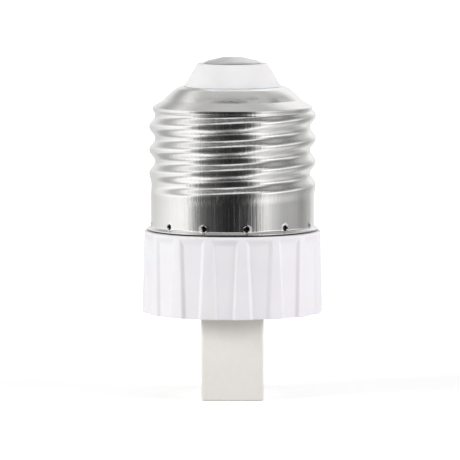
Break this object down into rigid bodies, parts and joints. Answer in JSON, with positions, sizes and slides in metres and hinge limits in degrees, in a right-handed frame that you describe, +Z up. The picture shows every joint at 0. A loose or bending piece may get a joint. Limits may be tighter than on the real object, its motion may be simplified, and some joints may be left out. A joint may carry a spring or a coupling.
{
  "type": "lamp socket adapter",
  "caption": "Lamp socket adapter: a metal screw base over a ribbed white collar, with a ceramic two-pin lamp socket pointing down.",
  "frame": {"origin": "middle of the mouth face of the ceramic socket block, on which the part stands", "axes": "+Z up the screw's axis, from the lamp socket to the centre contact; the narrow side of the block faces -Y and its two pin slots lie along Y"},
  "size_m": [0.0282, 0.0282, 0.0532],
  "materials": {
    "nickel_shell": "bright nickel plate on thin brass sheet",
    "tip_plastic": "smooth off-white insulating plastic",
    "contact_metal": "satin nickel plate",
    "collar_plastic": "moulded white plastic with a soft gloss",
    "block_ceramic": "pressed and fired steatite, unglazed, warm off-white",
    "clip_metal": "sprung nickel-plated strip",
    "cover_sheet": "pressed mica sheet",
    "eyelet_brass": "plain brass",
    "strip_brass": "plain brass strip"
  },
  "bodies": {
    "root": {"screw_shell": "nickel_shell", "tip_insulator": "tip_plastic", "centre_contact": "contact_metal", "collar": "collar_plastic", "socket_block": "block_ceramic", "live_clip": "clip_metal", "neutral_clip": "clip_metal", "mica_cover": "cover_sheet", "cover_eyelet": "eyelet_brass", "live_strip": "strip_brass", "neutral_strip": "strip_brass"}
  },
  "joints": []
}
